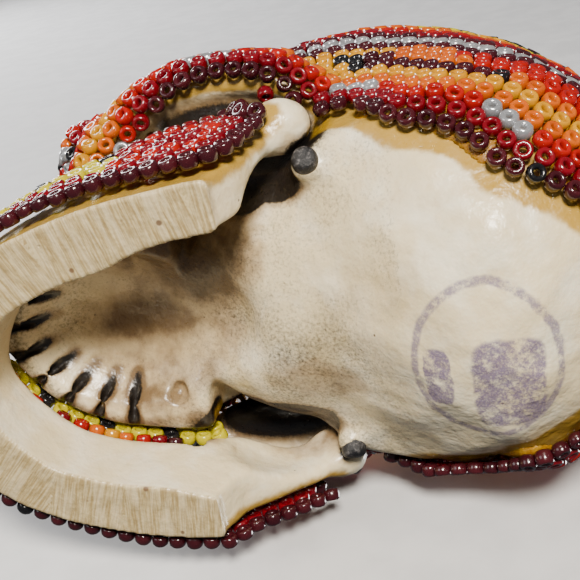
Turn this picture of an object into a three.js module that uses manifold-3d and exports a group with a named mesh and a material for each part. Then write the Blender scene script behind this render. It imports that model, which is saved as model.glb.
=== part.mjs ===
// Huichol style beaded skull: a small cast-resin skull with its lower jaw bonded on,
// coated outside with beeswax and covered with rows of glass seed beads.
// Millimetres, +Z up, face towards -Y, the figure's left is +X, standing on z = 0.
import * as THREE from 'three';
import { mergeVertices } from 'three/addons/utils/BufferGeometryUtils.js';
import Module from 'manifold-3d';

const wasm = await Module();
wasm.setup();

// ---------------------------------------------------------------- driving dimensions
const GAP = 0.3;                // clear space kept between two touching pieces
const WAX = 0.45;               // thickness of the wax coat
const BEAD_HEIGHT = 1.25;       // how far the beads stand out of the wax
const ROW = 2.0;                // spacing of neighbouring bead rows
const WAX_FLOOR = GAP;
const WAX_TOP = WAX_FLOOR + WAX;
const BEAD_FLOOR = WAX_TOP + GAP;
const BEAD_TOP = BEAD_FLOOR + BEAD_HEIGHT;
const TRIM_BOTTOM = 0.8;        // no wax or bead reaches lower than this
const HALF_WIDTH = 25.2;        // bare braincase, half of its greatest width
const JAW_TOP = 10;             // height of the jaw's body
const JAW_SKEW = THREE.MathUtils.degToRad(-2.5);   // the jaw is bonded on a little askew
const JAW_PIVOT = 8;            // the skew is about this place, between the jaw's joints
const ARCH_BOTTOM = 12.2;       // lower edge of the upper dental arch
const SHIFT_Y = 1.85;           // puts the middle of the length on the origin
const MEDALLION = 10;           // radius of the crown medallion
const OCCIPUT_START = 22;       // the field at the back starts here
const FACE_START = -16;         // the face's fields end here
const ARCH_END = 3;             // the border row under each cheek arch ends here
const BROW_LINE = 43;           // foot of the forehead field
const CHEEK_START = 12;         // the cheek fields start this far off the midline
const WAX_MARGIN = 1.6;         // wax showing past the border row
const HEAD_DETAIL = 4;          // how finely the head's surface is divided
const CURVE_STEPS = 4;          // straight pieces in each curve of the jaw's outlines
const PLAN_STEPS = 3;           // and of the dental arch
const FAR = 90;                 // size of the blocks that divide the bead fields
const BELOW_GROUND = -1;        // the jaw's plan starts here, and is cut off level at z = 0
const AHEAD_OF_CHIN = -60;      // the jaw's side outline starts here
const JAW_CLEAR = 50;           // and ends here, well above the jaw

const SIDES = [['left', 1], ['right', -1]];

// ---------------------------------------------------------------- geometry helpers
function toSolid(geometry) {
  geometry.deleteAttribute('normal');
  geometry.deleteAttribute('uv');
  const merged = mergeVertices(geometry, 1e-4);
  return new wasm.Manifold(new wasm.Mesh({
    numProp: 3,
    vertProperties: new Float32Array(merged.attributes.position.array),
    triVerts: new Uint32Array(merged.index.array),
  }));
}

function ellipsoid(centre, radii, detail) {
  const geometry = new THREE.IcosahedronGeometry(1, detail);
  geometry.scale(radii[0], radii[1], radii[2]);
  geometry.translate(centre[0], centre[1], centre[2]);
  return toSolid(geometry);
}

function block(low, high) {
  const size = high.map((value, axis) => value - low[axis]);
  const geometry = new THREE.BoxGeometry(size[0], size[1], size[2]);
  geometry.translate(low[0] + size[0] / 2, low[1] + size[1] / 2, low[2] + size[2] / 2);
  return toSolid(geometry);
}

// A tube of oval section along a smooth curve through the given points.
function tube(points, halfWide, halfTall, steps, sides) {
  const section = new THREE.Shape();
  section.absellipse(0, 0, halfTall, halfWide, 0, Math.PI * 2, false, 0);
  const curve = new THREE.CatmullRomCurve3(points.map((point) => new THREE.Vector3(...point)));
  const geometry = new THREE.ExtrudeGeometry(section, {
    steps, extrudePath: curve, curveSegments: sides / 2, bevelEnabled: false,
  });
  return toSolid(geometry);
}

// Turns a geometry of the jaw to the side, about the upright line through its joints.
function skewed(geometry) {
  geometry.translate(0, -JAW_PIVOT, 0);
  geometry.rotateZ(JAW_SKEW);
  geometry.translate(0, JAW_PIVOT, 0);
  return geometry;
}

// A plan outline (x, y) raised from z = low to z = high.
function raisedGeometry(shape, low, high, curveSegments) {
  const geometry = new THREE.ExtrudeGeometry(shape, {
    depth: high - low, curveSegments, bevelEnabled: false,
  });
  return geometry.translate(0, 0, low);
}

const raisePlan = (shape, low, high) => toSolid(raisedGeometry(shape, low, high, PLAN_STEPS));
const raiseJawPlan = (shape, low, high) => toSolid(skewed(raisedGeometry(shape, low, high, CURVE_STEPS)));

// A side outline (y, z) of the jaw, carried across from x = low to x = high.
function crossSide(shape, low, high) {
  const geometry = new THREE.ExtrudeGeometry(shape, {
    depth: high - low, curveSegments: CURVE_STEPS, bevelEnabled: false,
  });
  geometry.applyMatrix4(new THREE.Matrix4().set(
    0, 0, 1, low,
    1, 0, 0, 0,
    0, 1, 0, 0,
    0, 0, 0, 1,
  ));
  return toSolid(skewed(geometry));
}

function smoothOutline(points) {
  const shape = new THREE.Shape();
  const [first, ...rest] = points.map((point) => new THREE.Vector2(...point));
  shape.moveTo(first.x, first.y);
  shape.splineThru(rest);
  return shape;
}

function joined(solids) {
  return solids.reduce((total, solid) => total.add(solid));
}

// ---------------------------------------------------------------- the skull casting
// Every form takes a growth, so that the coats can follow the casting at a distance.
function orbit(side, growth) {
  return ellipsoid([9.2 * side, -36, 33], [6.5 + growth, 11 + growth, 6 + growth], 3);
}

function nasalOpening(growth) {
  return ellipsoid([0, -41, 23], [3.9 + growth, 9 + growth, 5.6 + growth], 2);
}

function cheekArch(side, growth) {
  const route = [
    [7, -26, 23], [14, -25, 23.4], [21, -21.5, 24.8], [25, -15, 25.8],
    [26, -7, 25.4], [25, 1, 24.4], [17, 8, 24],
  ];
  const points = route.map(([x, y, z]) => [x * side, y, z]);
  return tube(points, 2 + growth, 2.9 + growth, 8, 6);
}

function dentalArchPlan(growth) {
  const right = [[15.4, -14], [14.6, -21], [12.6, -28.6], [9.2, -34.4], [4.6, -38]];
  const half = right.map(([x, y]) => [x + growth, y - growth * Math.max(0, 1 - x / 12)]);
  half[0][1] += growth;
  const mirrored = half.map(([x, y]) => [-x, y]).reverse();
  return smoothOutline([...half, [0, -39.6 - growth], ...mirrored]);
}

// The rounded forms of the head: centre and half sizes. Forms off the midline are on both sides.
const HEAD_CENTRE = new THREE.Vector3(0, 1, 31);
const HEAD_FORMS = [
  { at: [0, 8, 39], radii: [HALF_WIDTH, 33.5, 24.5] },        // braincase
  { at: [0, 22, 21], radii: [24.2, 19.5, 21.2] },             // occipital lobe
  { at: [0, 16, 29], radii: [24.8, 25.4, 23] },               // between the two
  { at: [0, -15, 42], radii: [20.5, 21.5, 19] },              // forehead
  { at: [0, -25, 28], radii: [15, 13, 14] },                  // upper jaw and nose
  { at: [0, -34.6, 32], radii: [3.4, 4.2, 8.6] },             // nose bones
  { at: [0, -1, 20.5], radii: [17.5, 17, 11.5] },             // base of the skull
  { at: [10, -31, 39.5], radii: [9.6, 6, 4] },                // brow
  { at: [17.6, -23, 24.6], radii: [5.4, 5.6, 6] },            // cheekbone
  { at: [18.6, 9, 17.5], radii: [4.4, 6, 8] },                // mastoid
  { at: [15.5, 5.6, 16.5], radii: [5.5, 5.2, 5.5] },          // round the ear opening
];
const BLEND = 0.9;              // how softly neighbouring forms run into each other

// How far a ray from the head's centre goes before it leaves a form, or 0 if it misses it.
function exitDistance(direction, centre, radii) {
  const [ox, oy, oz] = centre.map((value, axis) => (HEAD_CENTRE.getComponent(axis) - value) / radii[axis]);
  const [dx, dy, dz] = radii.map((radius, axis) => direction.getComponent(axis) / radius);
  const a = dx * dx + dy * dy + dz * dz;
  const b = ox * dx + oy * dy + oz * dz;
  const c = ox * ox + oy * oy + oz * oz - 1;
  const root = b * b - a * c;
  return root > 0 ? Math.max(0, (Math.sqrt(root) - b) / a) : 0;
}

// Distance from the head's centre to its surface: the farthest form, softly blended.
function headReach(direction, growth) {
  const reaches = HEAD_FORMS.flatMap(({ at, radii }) => {
    const grown = radii.map((radius) => radius + growth);
    const places = at[0] === 0 ? [at] : [at, [-at[0], at[1], at[2]]];
    return places.map((centre) => exitDistance(direction, centre, grown));
  });
  const farthest = Math.max(...reaches);
  const sum = reaches.reduce((total, reach) => total + Math.exp((reach - farthest) / BLEND), 0);
  return farthest + BLEND * Math.log(sum);
}

function head(growth) {
  const geometry = new THREE.IcosahedronGeometry(1, HEAD_DETAIL);
  const position = geometry.attributes.position;
  const direction = new THREE.Vector3();
  for (let index = 0; index < position.count; index += 1) {
    direction.fromBufferAttribute(position, index).normalize();
    const reach = headReach(direction, growth);
    direction.multiplyScalar(reach).add(HEAD_CENTRE);
    position.setXYZ(index, direction.x, direction.y, direction.z);
  }
  return toSolid(geometry);
}

function palate(growth) {
  return joined([
    ellipsoid([0, -23.5, 10.6], [11 + growth, 13 + growth, 7 + growth], 3),
    ellipsoid([0, -13.5, 9.4], [8.5 + growth, 9 + growth, 6 + growth], 2),
  ]);
}

function bareSkull(growth) {
  const arch = raisePlan(dentalArchPlan(growth), ARCH_BOTTOM - growth, 24);
  const body = joined([head(growth), ...SIDES.map(([, side]) => cheekArch(side, growth)), arch]);
  const clear = growth > 0 ? 2 * GAP : 0;
  const hollows = joined([
    ...SIDES.map(([, side]) => orbit(side, clear)),
    nasalOpening(clear),
    palate(clear),
  ]);
  const ground = block([-FAR, -FAR, -FAR], [FAR, FAR, growth > 0 ? TRIM_BOTTOM : 0]);
  return body.subtract(hollows).subtract(ground);
}

// ---------------------------------------------------------------- the jaw casting
const JAW_OUTSIDE = [[23.6, 8], [22.4, -8], [21.8, -15], [20.6, -22], [18, -30.5], [14, -37.8], [7.6, -43.2]];
const CHIN = -45.4;
const CHIN_DEPTH = 8.2;         // thickness of the jaw at the chin
const JAW_ANGLE = { left: -6.5, right: -15 };   // where the sawn flat ends on each side

function jawPlan(growth) {
  const half = JAW_OUTSIDE.map(([x, y]) => [x + growth, y - growth * Math.max(0, 1 - x / 15)]);
  const mirrored = half.map(([x, y]) => [-x, y]).reverse();
  return smoothOutline([...half, [0, CHIN - growth], ...mirrored]);
}

function jawInside(edge) {
  const half = [[17.4, 40], [16.6, -6], [14, -18], [12.4, -25.4], [8.8, -32.4]]
    .map(([x, y]) => [x - edge, y]);
  const mirrored = half.map(([x, y]) => [-x, y]).reverse();
  const front = [0, CHIN + CHIN_DEPTH + edge];
  const channel = raiseJawPlan(smoothOutline([...half, front, ...mirrored]), BELOW_GROUND, JAW_CLEAR);
  const hollows = SIDES.map(([, side]) => (
    ellipsoid([10 * side - 0.5, -2, 12], [10.6 - edge, 14 - edge, 9 - edge], 3)));
  return joined([channel, ...hollows]);
}

// The side outline: sawn foot, angle, rear edge, joint, front edge of the upright, tooth line.
function jawSide(growth, edge, angle) {
  const shape = new THREE.Shape();
  shape.moveTo(AHEAD_OF_CHIN, BELOW_GROUND);
  shape.lineTo(angle + edge, BELOW_GROUND);
  shape.quadraticCurveTo(angle + 3 + edge, 0.6, angle + 4.6 + edge, 5);
  shape.quadraticCurveTo(0.4 + edge, 11, 1.8 + edge, 15.6 + growth);
  shape.quadraticCurveTo(0.6, 19 + growth, -3, 17.4 + growth);
  shape.quadraticCurveTo(-7, 15.2 + growth, -10.4, 15.6 + growth);
  shape.quadraticCurveTo(-14.6 - growth, 15.2 + growth, -17 - edge, JAW_TOP + edge);
  shape.lineTo(AHEAD_OF_CHIN, JAW_TOP + edge);
  return shape;
}

// growth moves the outer faces, and edge the rear, inner and top ones.
function bareJaw(growth, edge = growth) {
  const plan = raiseJawPlan(jawPlan(growth), BELOW_GROUND, JAW_CLEAR);
  const profiles = joined(SIDES.map(([name, side]) => (
    crossSide(jawSide(growth, edge, JAW_ANGLE[name]), side > 0 ? 0 : -FAR, side > 0 ? FAR : 0))));
  const ground = block([-FAR, -FAR, -FAR], [FAR, FAR, growth > 0 ? TRIM_BOTTOM : 0]);
  return plan.intersect(profiles).subtract(jawInside(edge)).subtract(ground);
}

// The space between two growths of the jaw's outer faces.
function jawShell(low, high) {
  return bareJaw(high, 0).subtract(bareJaw(low)).subtract(below(TRIM_BOTTOM));
}

// ---------------------------------------------------------------- where coats and beads lie
// The bare underside is what lies inside seven rounded forms: one under the skull, and one round
// each jaw joint, each ear and the place behind each ear.
// Each bead row lies between two of their sizes, one row spacing apart.
const UNDERSIDE_FORMS = [
  { at: [22, -8, 14], radii: [9.5, 12.5, 9.5] },
  { at: [18, 5, 9], radii: [9, 9.5, 9.5] },
  { at: [15.5, 13, 6], radii: [9, 11, 7.5] },
];

function underside(reach) {
  const main = ellipsoid([0, 4, -13], [27 + reach, 45 + reach, 30.5 + reach], 3);
  const others = UNDERSIDE_FORMS.flatMap(({ at, radii }) => (
    SIDES.map(([, side]) => ellipsoid([at[0] * side, at[1], at[2]], radii.map((r) => r + reach), 1))));
  return joined([main, ...others]);
}

const crownDisc = (radius) => ellipsoid([0, 4, 64], [radius, radius, radius], 3);
const eyeRimForm = (side, reach) => (
  ellipsoid([9.2 * side, -36, 33], [6.5 + reach, 14, 6 + reach], 3));
const noseRimForm = (reach) => ellipsoid([0, -41, 23], [3.9 + reach, 12, 5.6 + reach], 3);
const above = (z) => block([-FAR, -FAR, z], [FAR, FAR, FAR]);
const below = (z) => block([-FAR, -FAR, -FAR], [FAR, FAR, z]);
const behind = (y) => block([-FAR, y, -FAR], [FAR, FAR, FAR]);
const ahead = (y) => block([-FAR, -FAR, -FAR], [FAR, y, FAR]);
const beside = (side, x) => (side > 0
  ? block([x, -FAR, -FAR], [FAR, FAR, FAR])
  : block([-FAR, -FAR, -FAR], [-x, FAR, FAR]));
const between = (x) => block([-x, -FAR, -FAR], [x, FAR, FAR]);

function largest(solid) {
  return solid.decompose().reduce((best, piece) => (piece.volume() > best.volume() ? piece : best));
}

const group = new THREE.Group();
group.name = 'beaded_skull';

function place(name, solid, colour, roughness) {
  const mesh = largest(solid).getMesh();
  const geometry = new THREE.BufferGeometry();
  geometry.setAttribute('position', new THREE.BufferAttribute(new Float32Array(mesh.vertProperties), 3));
  geometry.setIndex(new THREE.BufferAttribute(new Uint32Array(mesh.triVerts), 1));
  geometry.computeVertexNormals();
  const material = new THREE.MeshStandardMaterial({ color: colour, roughness, metalness: 0 });
  const piece = new THREE.Mesh(geometry, material);
  piece.name = name;
  piece.position.y = SHIFT_Y;
  group.add(piece);
}

// ---------------------------------------------------------------- colours
const RESIN = 0xe0d3b4;
const AMBER = 0xc98a2b;
const BLACK = 0x121212;
const MAROON = 0x3a0d16;
const CRIMSON = 0x8f1224;
const RED = 0xc0161c;
const ORANGE = 0xe8681a;
const YELLOW = 0xf2a71b;
const LEMON = 0xf0df1a;
const PEARL = 0xb9bcc4;
const GLASS = 0.15;

// ---------------------------------------------------------------- castings and plugs
// The ear openings are filled with a round black plug, square to the surface.
const EAR_DIRECTION = [19, 2.4, -18.6];
const PLUG_RADIUS = 1.5;
const PLUG_LENGTH = 3;
const SEAT_MOUTH = 4;           // the seat is cut this much longer, to open outwards

function plug(side, growth) {
  const [x, y, z] = EAR_DIRECTION;
  const direction = new THREE.Vector3(x * side, y, z).normalize();
  const radius = PLUG_RADIUS + growth;
  const length = PLUG_LENGTH + (growth > 0 ? SEAT_MOUTH : 0);
  const geometry = new THREE.CylinderGeometry(radius, radius, length, 14);
  geometry.translate(0, length / 2 - PLUG_LENGTH / 2 - growth, 0);
  geometry.applyQuaternion(new THREE.Quaternion().setFromUnitVectors(new THREE.Vector3(0, 1, 0), direction));
  const seat = HEAD_CENTRE.clone().addScaledVector(direction, headReach(direction, 0));
  geometry.translate(seat.x, seat.y, seat.z);
  return toSolid(geometry);
}

const plugSeats = joined(SIDES.map(([, side]) => plug(side, GAP)));
place('cranium_casting', bareSkull(0).subtract(plugSeats), RESIN, 0.45);
place('jaw_casting', bareJaw(0).subtract(bareSkull(GAP)), RESIN, 0.5);

// A blob of resin bonds each joint of the jaw to the skull.
function bondForm(side, growth) {
  return ellipsoid([22.4 * side, 0.4, 16.4], [3.2 + growth, 3.8 + growth, 3 + growth], 2);
}

const bondKeepOut = bareJaw(GAP).add(bareSkull(GAP));
SIDES.forEach(([name, side]) => {
  place(`jaw_bond_${name}`, bondForm(side, 0).subtract(bondKeepOut), AMBER, 0.5);
  place(`ear_plug_${name}`, plug(side, 0), BLACK, 0.5);
});
const bonds = joined(SIDES.map(([, side]) => bondForm(side, GAP)));

// ---------------------------------------------------------------- coats
const teethKeepOut = raisePlan(dentalArchPlan(6), 0, ARCH_BOTTOM + 4.8);
const jawReach = bareJaw(BEAD_TOP + GAP).add(bonds);
const skullReach = bareSkull(BEAD_TOP + GAP).add(bonds);

const skullWax = bareSkull(WAX_TOP).subtract(bareSkull(WAX_FLOOR)).subtract(underside(-WAX_MARGIN));
place('cranium_wax_coat', skullWax.subtract(jawReach).subtract(teethKeepOut), AMBER, 0.4);

const jawWax = jawShell(WAX_FLOOR, WAX_TOP);
place('jaw_wax_coat', jawWax.subtract(skullReach), AMBER, 0.4);

// ---------------------------------------------------------------- beads on the cranium
const beads = bareSkull(BEAD_TOP).subtract(bareSkull(BEAD_FLOOR)).subtract(jawReach).subtract(teethKeepOut);

// Rows that run parallel to the edge of the bare underside, the first one at the edge.
const RINGS = [
  ['border_row_maroon', MAROON], ['second_row_crimson', CRIMSON], ['third_row_red', RED],
  ['fourth_row_orange', ORANGE], ['fifth_row_yellow', YELLOW],
];
RINGS.forEach(([name, colour], index) => {
  const reach = index * ROW;
  const row = beads.intersect(underside(reach + ROW - GAP)).subtract(underside(reach));
  place(name, index === 0 ? row.intersect(behind(ARCH_END + GAP)) : row, colour, GLASS);
  if (index === 0) {
    SIDES.forEach(([side, sign]) => {
      const arch = row.intersect(ahead(ARCH_END)).intersect(beside(sign, GAP / 2));
      place(`arch_${name}_${side}`, arch, colour, GLASS);
    });
  }
});

const upper = beads.subtract(underside(RINGS.length * ROW));
place('crown_medallion', upper.intersect(crownDisc(MEDALLION)), YELLOW, GLASS);
const ring = upper.intersect(crownDisc(MEDALLION + 3 * ROW)).subtract(crownDisc(MEDALLION + GAP));
place('crown_ring', ring, PEARL, GLASS);

const lower = upper.subtract(crownDisc(MEDALLION + 3 * ROW + GAP));
const occiput = lower.intersect(behind(OCCIPUT_START + GAP));
place('occiput_field', occiput, MAROON, GLASS);

const sides = lower.intersect(ahead(OCCIPUT_START)).intersect(behind(FACE_START + GAP));
SIDES.forEach(([name, side]) => {
  place(`parietal_field_${name}`, sides.intersect(beside(side, GAP / 2)), ORANGE, GLASS);
});

const front = lower.intersect(ahead(FACE_START));
const eyes = joined(SIDES.map(([, side]) => eyeRimForm(side, ROW + GAP)));
const nose = noseRimForm(ROW + GAP);
const plain = front.subtract(eyes).subtract(nose);
place('forehead_field', plain.intersect(above(BROW_LINE + GAP)), CRIMSON, GLASS);
SIDES.forEach(([name, side]) => {
  const rim = front.intersect(eyeRimForm(side, ROW)).subtract(eyeRimForm(side, 0.6));
  place(`eye_rim_${name}`, rim.intersect(beside(side, GAP / 2)), PEARL, GLASS);
  const cheek = plain.intersect(below(BROW_LINE)).intersect(beside(side, CHEEK_START + GAP));
  place(`cheek_field_${name}`, cheek, RED, GLASS);
});
const noseRim = front.intersect(noseRimForm(ROW)).subtract(noseRimForm(0.6)).subtract(eyes);
place('nose_rim', noseRim, BLACK, GLASS);
place('muzzle_field', plain.intersect(below(BROW_LINE)).intersect(between(CHEEK_START)), YELLOW, GLASS);

// ---------------------------------------------------------------- teeth and jaw beads
const upperTeeth = raisePlan(dentalArchPlan(GAP + BEAD_HEIGHT), ARCH_BOTTOM, ARCH_BOTTOM + 4.4)
  .subtract(raisePlan(dentalArchPlan(GAP), 0, FAR));
place('upper_teeth_beads', upperTeeth.intersect(ahead(-14)).subtract(bareJaw(GAP)), LEMON, GLASS);

const jawBeads = jawShell(BEAD_FLOOR, BEAD_TOP).subtract(skullReach);
const RAMUS_START = -17;
const CHIN_END = -37;
const TEETH_BOTTOM = JAW_TOP - 2 * ROW;
const jawMiddle = jawBeads.intersect(above(TRIM_BOTTOM + ROW + GAP));
const jawTeeth = jawBeads.intersect(ahead(RAMUS_START)).intersect(above(TEETH_BOTTOM + GAP));
place('lower_teeth_beads', jawTeeth, LEMON, GLASS);
place('chin_field', jawMiddle.intersect(ahead(CHIN_END)).intersect(below(TEETH_BOTTOM)), CRIMSON, GLASS);
SIDES.forEach(([name, side]) => {
  const border = jawBeads.intersect(below(TRIM_BOTTOM + ROW)).intersect(beside(side, GAP / 2));
  place(`jaw_border_row_${name}`, border, MAROON, GLASS);
  const body = jawMiddle.intersect(below(TEETH_BOTTOM)).intersect(beside(side, 0));
  const flank = body.intersect(behind(CHIN_END + GAP)).intersect(ahead(RAMUS_START));
  place(`jaw_flank_field_${name}`, flank, AMBER, GLASS);
  const ramus = jawMiddle.intersect(behind(RAMUS_START + GAP)).intersect(beside(side, 0));
  place(`ramus_field_${name}`, ramus, CRIMSON, GLASS);
});

export default group;
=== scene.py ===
"""Huichol style beaded skull: cast resin, beeswax and glass seed beads, seen from underneath.

Lengths inside the script are millimetres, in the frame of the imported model, until a mesh is made.
"""

import heapq
import math

import bpy
import numpy as np
import openvdb as vdb
from mathutils import Matrix, Vector
from mathutils.bvhtree import BVHTree


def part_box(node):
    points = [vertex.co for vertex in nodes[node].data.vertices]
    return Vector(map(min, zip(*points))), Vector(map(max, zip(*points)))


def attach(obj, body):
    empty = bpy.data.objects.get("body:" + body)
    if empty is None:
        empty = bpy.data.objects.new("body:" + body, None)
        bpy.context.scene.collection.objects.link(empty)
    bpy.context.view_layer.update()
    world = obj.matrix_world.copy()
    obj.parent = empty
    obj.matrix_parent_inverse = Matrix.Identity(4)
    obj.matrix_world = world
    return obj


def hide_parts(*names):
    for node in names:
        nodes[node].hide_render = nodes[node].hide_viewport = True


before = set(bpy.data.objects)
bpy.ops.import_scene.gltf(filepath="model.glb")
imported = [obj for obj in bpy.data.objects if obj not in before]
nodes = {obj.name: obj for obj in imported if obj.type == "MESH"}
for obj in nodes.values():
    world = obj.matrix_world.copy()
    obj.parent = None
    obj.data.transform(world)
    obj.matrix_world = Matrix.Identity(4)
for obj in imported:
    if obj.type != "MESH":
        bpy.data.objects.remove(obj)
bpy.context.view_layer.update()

MM = 0.001
SHIFT_Y = 1.85           # the part is built about y = 0 of its head, then centred on its length
JAW_SKEW = math.radians(-2.5)
JAW_PIVOT = 8 + SHIFT_Y
PITCH = 2.18             # distance between two beads of a row
ROW = 1.98               # distance between two rows
FIRST_ROW = 0.95         # from the edge of a beaded area to its first row
ROOM = 1.86              # no two beads of the rows are nearer than this
FILL_ROOM = 1.9          # the same for the single beads that fill gaps
FILL_SIZE = 0.94
BEAD_RADIUS = 1.09
BEAD_HOLE = 0.37         # radius of a bead's hole
BEAD_HALF_HEIGHT = 0.72
RIDE_HEIGHT = 1.55       # bead centres above the casting
EAR_DIRECTION = (19, 2.4, -18.6)   # the left ear opening, from the middle of the head
SEAT_RISE = 0.6          # how far past its middle each ear plug sits in its seat
RAMUS_BEADS_START = 20.2  # no bead on the jaw's uprights is nearer the midline than this
WAX_BED = 0.95           # wax surface above the casting, under the beads
SLOT_DEPTHS = (12.0, 14.6)          # heights of a tooth slot's outer and inner end
SLOT_RADIUS = 0.60
RANDOM = np.random.default_rng(11)


# ------------------------------------------------------------------ camera
def place_camera():
    """The viewing angle: from below, a little from the figure's left and the back of the head."""
    target = Vector((5.4, 1.85, 8.0))
    distance = 120.0
    width = 66.0             # millimetres across the view at the target
    tilt, turn, roll = math.radians(24), math.radians(12), math.radians(-10.5)
    back = Vector((
        math.sin(tilt) * math.cos(turn), math.sin(turn), -math.cos(tilt) * math.cos(turn)))
    level = Vector((1, 0, 0)).cross(back).normalized()
    upright = back.cross(level)
    right = level * math.cos(roll) + upright * math.sin(roll)
    up = upright * math.cos(roll) - level * math.sin(roll)
    data = bpy.data.cameras.new("camera")
    data.sensor_width = 36
    data.lens = 36 * distance / width
    data.clip_start = 0.005
    camera = bpy.data.objects.new("camera", data)
    turned = Matrix((right, up, back)).transposed().to_4x4()
    camera.matrix_world = Matrix.Translation((target + back * distance) * MM) @ turned
    bpy.context.scene.collection.objects.link(camera)
    bpy.context.scene.camera = camera


# ------------------------------------------------------------------ distance grids
class Grid:
    """A box of evenly spaced samples."""

    def __init__(self, low, high, voxel):
        self.voxel = voxel
        self.start = np.floor(np.array(low) / voxel).astype(int)
        end = np.ceil(np.array(high) / voxel).astype(int)
        self.shape = tuple(int(n) for n in end - self.start + 1)
        self.transform = vdb.createLinearTransform(voxelSize=voxel)

    def axes(self):
        lines = [
            ((self.start[axis] + np.arange(self.shape[axis])) * self.voxel).astype(np.float32)
            for axis in range(3)]
        return lines[0][:, None, None], lines[1][None, :, None], lines[2][None, None, :]

    def sample(self, values, points):
        """Values at the given points, read between the samples."""
        place = points / self.voxel - self.start
        place = np.clip(place, 0, np.array(self.shape) - 1.001)
        base = place.astype(int)
        part = place - base
        total = np.zeros(len(points))
        for corner in np.ndindex(2, 2, 2):
            weight = np.prod(np.where(corner, part, 1 - part), axis=1)
            total += weight * values[tuple((base + corner).T)]
        return total

    def gradient(self, values, points):
        """Unit direction in which the values grow."""
        step = self.voxel
        parts = []
        for axis in range(3):
            shift = np.zeros(3)
            shift[axis] = step
            ahead, behind = self.sample(values, points + shift), self.sample(values, points - shift)
            parts.append(ahead - behind)
        found = np.stack(parts, axis=1)
        return found / np.maximum(np.linalg.norm(found, axis=1, keepdims=True), 1e-9)


def cad_distance(grid, names, band=12):
    """Signed distance from CAD nodes, negative inside."""
    total = None
    for name in names:
        mesh = nodes[name].data
        mesh.calc_loop_triangles()
        points = np.empty(len(mesh.vertices) * 3, np.float32)
        mesh.vertices.foreach_get("co", points)
        corners = np.empty(len(mesh.loop_triangles) * 3, np.int32)
        mesh.loop_triangles.foreach_get("vertices", corners)
        made = vdb.FloatGrid.createLevelSetFromPolygons(
            points.reshape(-1, 3) / MM, triangles=corners.reshape(-1, 3).astype(np.uint32),
            transform=grid.transform, halfWidth=float(band))
        values = np.empty(grid.shape, np.float32)
        made.copyToArray(values, ijk=tuple(int(n) for n in grid.start))
        total = values if total is None else np.minimum(total, values)
    return total


def blur(values, sigma):
    """Gaussian blur, sigma in samples."""
    reach = max(1, int(round(2.5 * sigma)))
    taps = np.exp(-0.5 * (np.arange(-reach, reach + 1) / sigma) ** 2)
    taps /= taps.sum()
    for axis in range(3):
        widths = [(reach, reach) if a == axis else (0, 0) for a in range(3)]
        padded = np.pad(values, widths, mode="edge")
        total = np.zeros_like(values)
        for index, tap in enumerate(taps):
            cut = [slice(None)] * 3
            cut[axis] = slice(index, index + values.shape[axis])
            total += np.float32(tap) * padded[tuple(cut)]
        values = total
    return values


def resample(source, values, target, rounded=False):
    """The values on another grid, read between the samples."""
    for axis in range(3):
        place = (target.start[axis] + np.arange(target.shape[axis])) * target.voxel / source.voxel
        place = np.clip(place - source.start[axis], 0, source.shape[axis] - 1.001)
        base = place.astype(int)
        part = (place - base).astype(np.float32)
        if rounded:
            part = part * part * (3 - 2 * part)
        form = [1, 1, 1]
        form[axis] = -1
        part = part.reshape(form)
        values = np.take(values, base, axis) * (1 - part) + np.take(values, base + 1, axis) * part
    return values


def lumps(grid, size, seed):
    """Smooth random hills of the given size, about -1 to 1."""
    coarse = Grid(grid.start * grid.voxel, (grid.start + np.array(grid.shape)) * grid.voxel, size / 2)
    noise = np.random.default_rng(seed).standard_normal(coarse.shape).astype(np.float32)
    noise = blur(noise, 1.1)
    noise /= 2.2 * noise.std()
    return resample(coarse, noise, grid, rounded=True)


def coarser(grid, voxel):
    """The same box with samples farther apart."""
    start = grid.start * grid.voxel
    return Grid(start, (grid.start + np.array(grid.shape) - 1) * grid.voxel, voxel)


def oval(axes, centre, radii):
    """Near signed distance from an ellipsoid."""
    away = [np.asarray(axes[a] - centre[a]) for a in range(3)]
    k0 = np.sqrt(sum((away[a] / radii[a]) ** 2 for a in range(3)))
    k1 = np.sqrt(sum((away[a] / radii[a] ** 2) ** 2 for a in range(3)))
    return k0 * (k0 - 1) / np.maximum(k1, 1e-6)


def rod(axes, start, end, radius):
    """Signed distance from a round-ended rod."""
    start, end = np.array(start, float), np.array(end, float)
    along = end - start
    share = sum((axes[a] - start[a]) * along[a] for a in range(3)) / (along @ along)
    share = np.clip(share, 0, 1)
    away = sum((axes[a] - start[a] - share * along[a]) ** 2 for a in range(3))
    return np.sqrt(away) - radius


def soft_min(a, b, soft):
    mix = np.clip(0.5 + 0.5 * (b - a) / soft, 0, 1)
    return b * (1 - mix) + a * mix - soft * mix * (1 - mix)


def cut(values, tool, soft=0.3):
    """Takes the tool away from a solid, with a rounded edge."""
    return -soft_min(-values, tool, soft)


def add(values, tool, soft=0.8):
    return soft_min(values, tool, soft)


def near(grid, centre, reach):
    """Slices of the grid round a place, and the coordinates there."""
    low = np.clip(((np.array(centre) - reach) / grid.voxel - grid.start).astype(int), 0, None)
    high = ((np.array(centre) + reach) / grid.voxel - grid.start).astype(int) + 2
    part = tuple(slice(int(a), int(b)) for a, b in zip(low, high))
    axes = grid.axes()
    return part, (axes[0][part[0]], axes[1][:, part[1]], axes[2][:, :, part[2]])


def carve(grid, values, centre, radii, soft=0.5, raised=False):
    """A small rounded hollow, or a raised lump."""
    part, axes = near(grid, centre, np.array(radii) + 2)
    tool = oval(axes, centre, radii)
    values[part] = add(values[part], tool, soft) if raised else cut(values[part], tool, soft)


def groove(grid, values, start, end, radius, soft=0.25):
    middle = (np.array(start) + end) / 2
    reach = np.abs(np.array(end, float) - start) / 2 + radius + 2
    part, axes = near(grid, middle, reach)
    values[part] = cut(values[part], rod(axes, start, end, radius), soft)


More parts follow.
